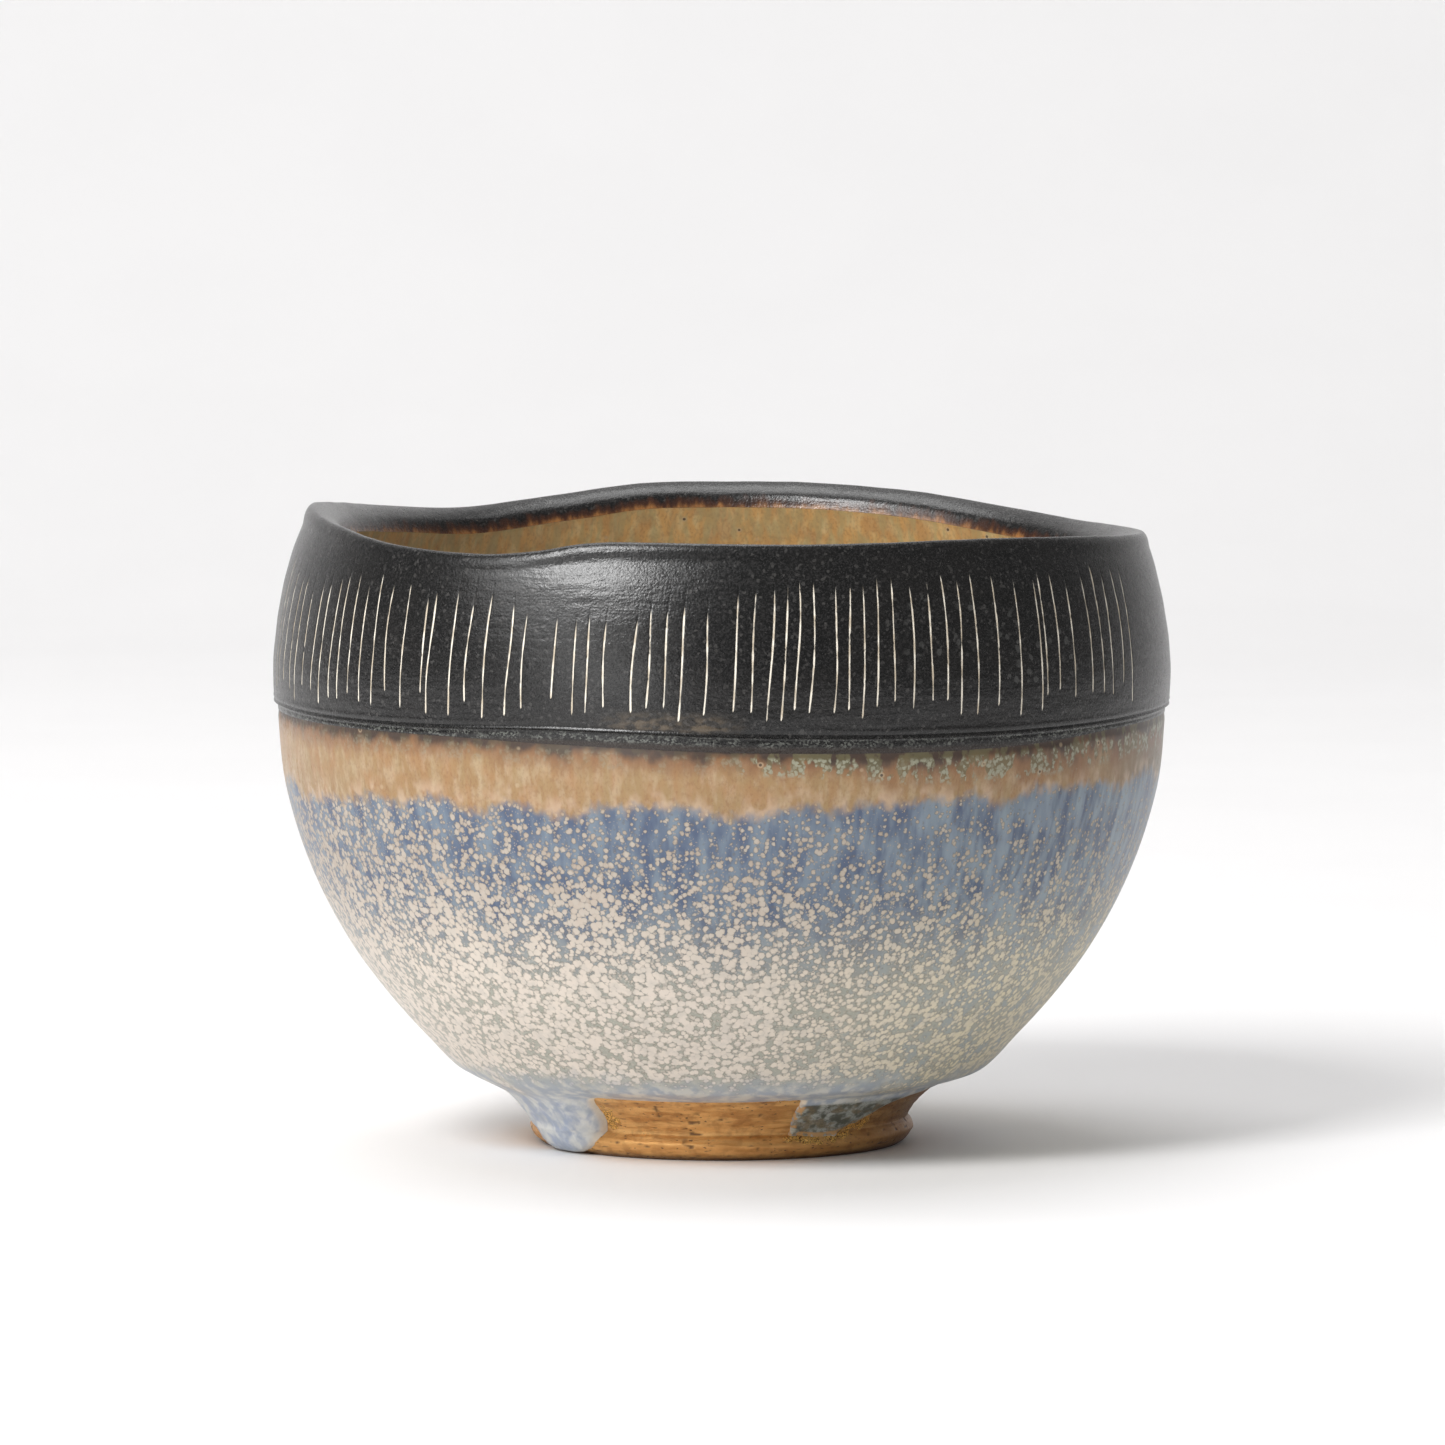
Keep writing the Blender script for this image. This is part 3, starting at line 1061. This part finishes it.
def slip_material():
    t = Tree("black_slip_satin")
    scratch = t.read("scratch")
    above = t.read("above")
    _, spark = t.cells(0.18, 0.18)
    _, spark_wide = t.cells(0.36, 0.36)
    colour = t.mix(t.fade(spark, 0.35, 1.0), srgb(15, 15, 15), srgb(42, 41, 41))
    colour = t.mix(t.fade(spark_wide, 0.9, 0.98, 0, 0.4), colour, srgb(88, 86, 84))
    colour = t.mix(t.fade(t.grain(9, 5, 3), 0.42, 0.66, 0, 0.35), colour, srgb(30, 28, 27))

    # A dusty tan smear by the step at the front, and pale round marks on the right
    smear = t.times(t.read("smear"), t.fade(above, 0.2, 0.8), t.fade(above, 3.4, 1.2))
    smear = t.times(smear, t.fade(t.grain(1.6, 0.8, 3), 0.4, 0.6, 0.1, 0.6))
    colour = t.mix(smear, colour, srgb(112, 98, 80))
    spot, spot_kind = t.cells(1.3, 1.3, t.shaken(0.4, 1))
    spots = t.times(t.fade(spot, 0.42, 0.28), t.fade(spot_kind, 0.42, 0.5))
    spots = t.times(spots, t.fade(t.grain(8, 8, 2), 0.5, 0.6), t.read("spots"))
    spots = t.times(spots, t.fade(above, 4, 7), t.fade(above, 21, 18))
    colour = t.mix(t.times(spots, 0.45), colour, srgb(92, 92, 90))
    hole, hole_kind = t.cells(3.1, 3.1)
    pin = t.times(t.fade(hole_kind, 0.6, 0.62), t.fade(hole, 0.07, 0.05))
    colour = t.mix(pin, colour, srgb(10, 9, 9))

    # Pale crystals below the step, cream clay in the strokes, and amber where the slip thins inside the lip
    _, kind = t.cells(0.24, 0.2)
    low = t.times(t.fade(above, 0.0, -0.3), t.fade(above, -1.9, -0.9))
    crystals = t.times(low, t.fade(t.grain(1.8, 0.9, 2), 0.36, 0.6), t.fade(kind, 0.5, 0.8))
    colour = t.mix(t.times(crystals, 0.7), colour, srgb(118, 120, 114))
    colour = t.mix(t.times(t.fade(above, -0.9, -1.6), 0.7), colour, srgb(50, 40, 34))
    clay = t.mix(t.fade(t.grain(0.5, 2.4, 3), 0.36, 0.62), srgb(200, 186, 164), srgb(250, 242, 226))
    broken = t.fade(t.grain(0.28, 1.5, 3), 0.24, 0.42, 0.62, 1.08)
    shown = t.fade(t.times(scratch, broken), 0.42, 0.72)
    colour = t.mix(shown, colour, clay)
    thinned = t.plus(t.read("thinned"), t.line(t.grain(1.3, 4, 3), 3.0, -1.5))
    colour = t.mix(t.fade(thinned, 1.6, 0.5), colour, srgb(66, 40, 28))
    colour = t.mix(t.fade(thinned, 0.7, -0.6), colour, srgb(160, 110, 62))
    t.look(colour, t.line(shown, 0.3, t.line(t.grain(0.35, 0.35, 2), 0.14, 0.2)))
    relief = t.plus(t.times(t.grain(0.3, 0.3, 3), 0.85), t.times(t.grain(1.5, 0.8, 2), 1.0))
    relief = t.plus(relief, t.times(t.grain(8, 1.1, 2), 1.6))
    relief = t.less(relief, t.times(pin, 1.0))
    t.bumps(relief, 0.045)
    return t.material


def lustre_material():
    t = Tree("foot_lustre_gold")
    pit = t.read("pit")
    flake = t.read("flake")
    bead = t.read("bead")
    band = t.fade(t.grain(4, 0.7, 3), 0.36, 0.62)
    colour = t.mix(t.times(band, 0.7), srgb(200, 148, 88), srgb(240, 192, 124))
    colour = t.mix(t.fade(t.grain(1.5, 1.3, 4), 0.45, 0.66, 0, 0.45), colour, srgb(150, 106, 62))
    colour = t.mix(t.times(bead, 0.5), colour, srgb(222, 164, 96))
    colour = t.mix(t.times(t.read("right"), 0.7), colour, srgb(100, 70, 52))
    colour = t.mix(t.times(t.read("low"), 0.75), colour, srgb(74, 44, 26))
    dash, dash_kind = t.cells(0.62, 0.26, t.shaken(0.3, 0.5))
    dashes = t.times(t.fade(dash_kind, 0.84, 0.88), t.fade(dash, 0.42, 0.24))
    dashes = t.times(dashes, t.fade(t.grain(3, 2, 2), 0.4, 0.56))
    dark = t.calc("MAXIMUM", t.times(dashes, 0.8), t.times(pit, 0.8))
    colour = t.mix(dark, colour, srgb(60, 34, 20))
    plate, _ = t.cells(0.42, 0.34, t.shaken(0.3, 0.5), "DISTANCE_TO_EDGE")
    ragged = t.fade(t.grain(1.4, 0.9, 3), 0.36, 0.56, 0.3, 1.25)
    gold = t.fade(t.times(flake, ragged), 0.35, 0.55)
    gold_colour = t.mix(t.fade(plate, 0.02, 0.09), srgb(120, 76, 36), srgb(246, 196, 112))
    colour = t.mix(gold, colour, gold_colour)
    t.look(colour, t.line(t.grain(0.4, 0.3, 2), 0.22, 0.34))
    t.put(t.line(dark, -0.5, 0.6), t.shader.inputs["Metallic"])
    relief = t.less(t.grain(0.4, 0.25, 3), t.times(dark, 0.8))
    relief = t.plus(relief, t.times(t.grain(1.6, 0.9, 2), 1.3))
    relief = t.plus(relief, t.times(gold, t.fade(plate, 0.0, 0.12), 2.0))
    t.bumps(relief, 0.06)
    return t.material


def clay_material():
    t = Tree("stoneware_bare")
    colour = t.mix(t.fade(t.grain(6, 6, 4), 0.38, 0.64), srgb(124, 82, 54), srgb(170, 122, 84))
    grit, grit_kind = t.cells(0.7, 0.7)
    grit = t.fade(grit, 0.4, 0.25)
    colour = t.mix(t.times(grit, t.fade(grit_kind, 0.7, 0.8), 0.8), colour, srgb(62, 40, 28))
    colour = t.mix(t.times(grit, t.fade(grit_kind, 0.2, 0.12), 0.6), colour, srgb(206, 176, 140))
    t.look(colour, t.line(t.grain(0.6, 0.6, 2), 0.2, 0.5))
    t.bumps(t.grain(0.35, 0.35, 3), 0.09)
    return t.material


outer_glaze = glaze_material("glaze_outside", 1.9, 2.8, TAN, TAN_PALE, 0.15)
inner_glaze = glaze_material("glaze_inside", 0.02, 0.02, INNER_TAN, INNER_TAN_PALE, 0.5)
outer_blue_glaze(outer_glaze)
outer_amber_glaze(outer_glaze)
black_slip(slip_material())
inner_glazes(inner_glaze)
clay_body(clay_material())
foot_ring(lustre_material())


# ------------------------ table, light and camera

# The sweep in metres: half its width, where it starts and turns up, the bend's radius, and its top
SWEEP_SIDE = 3.0
SWEEP_START = -2.5
SWEEP_TURN = 0.9
SWEEP_BEND = 0.6
SWEEP_TOP = 2.6
SWEEP_PARTS = 24
PAPER = srgb(243, 242, 242)


def paper_material():
    t = Tree("white_paper", 1.4)
    shaded = (*(0.99 * c for c in PAPER[:3]), 1)
    t.look(t.mix(t.fade(t.grain(60, 60, 3), 0.35, 0.65), PAPER, shaded), 0.6)
    return t.material


def sweep():
    """A pale table that curves up into a wall behind the bowl."""
    section = [(SWEEP_START, 0.0), (SWEEP_TURN, 0.0)]
    for i in range(1, SWEEP_PARTS + 1):
        a = math.radians(90 * i / SWEEP_PARTS)
        section.append((SWEEP_TURN + SWEEP_BEND * math.sin(a), SWEEP_BEND - SWEEP_BEND * math.cos(a)))
    section.append((SWEEP_TURN + SWEEP_BEND, SWEEP_TOP))
    points = []
    for y, z in section:
        points += [(-SWEEP_SIDE, y, z), (SWEEP_SIDE, y, z)]
    faces = [(2 * i, 2 * i + 1, 2 * i + 3, 2 * i + 2) for i in range(len(section) - 1)]
    mesh = bpy.data.meshes.new("paper_sweep")
    mesh.from_pydata(points, [], faces)
    mesh.shade_smooth()
    floor = bpy.data.objects.new("paper_sweep", mesh)
    floor.data.materials.append(paper_material())
    bpy.context.scene.collection.objects.link(floor)


def softbox(name, place, aim, width, height, power):
    light = bpy.data.lights.new(name, "AREA")
    light.shape = "RECTANGLE"
    light.size = width
    light.size_y = height
    light.energy = power
    lamp = bpy.data.objects.new(name, light)
    lamp.location = place
    lamp.rotation_euler = (Vector(aim) - Vector(place)).to_track_quat("-Z", "Y").to_euler()
    bpy.context.scene.collection.objects.link(lamp)


sweep()
softbox("key", (-1.05, -0.8, 0.85), (0, 0, 0.04), 0.7, 0.7, 6)
softbox("front", (-0.66, -0.92, 1.12), (0, 0, 0.06), 0.38, 0.56, 15.8)
softbox("low_fill", (-0.85, -1.5, 0.3), (0, 0, 0.03), 0.9, 0.4, 3.4)
softbox("top", (-0.15, 0.25, 1.4), (0, 0, 0), 0.9, 0.9, 7.5)
softbox("wall_wash", (0, 0.7, 1.9), (0, 1.5, 0.6), 2.4, 0.5, 9)

world = bpy.data.worlds.new("studio")
world.use_nodes = True
sky = world.node_tree.nodes["Background"]
sky.inputs["Color"].default_value = (1, 1, 1, 1)
sky.inputs["Strength"].default_value = 0.2
bpy.context.scene.world = world
bpy.context.scene.view_settings.view_transform = "Standard"

# A long lens, about 1.3 m in front of the bowl and a little above it
CAMERA_PLACE = Vector((0.0001, -1.2960, 0.1580))
CAMERA_AIM = Vector((0.0001, 0, 0.056))
camera_data = bpy.data.cameras.new("camera")
camera_data.lens = 242.2
camera_data.sensor_width = 36
camera = bpy.data.objects.new("camera", camera_data)
camera.location = CAMERA_PLACE
camera.rotation_euler = (CAMERA_AIM - CAMERA_PLACE).to_track_quat("-Z", "Y").to_euler()
bpy.context.scene.collection.objects.link(camera)
bpy.context.scene.camera = camera
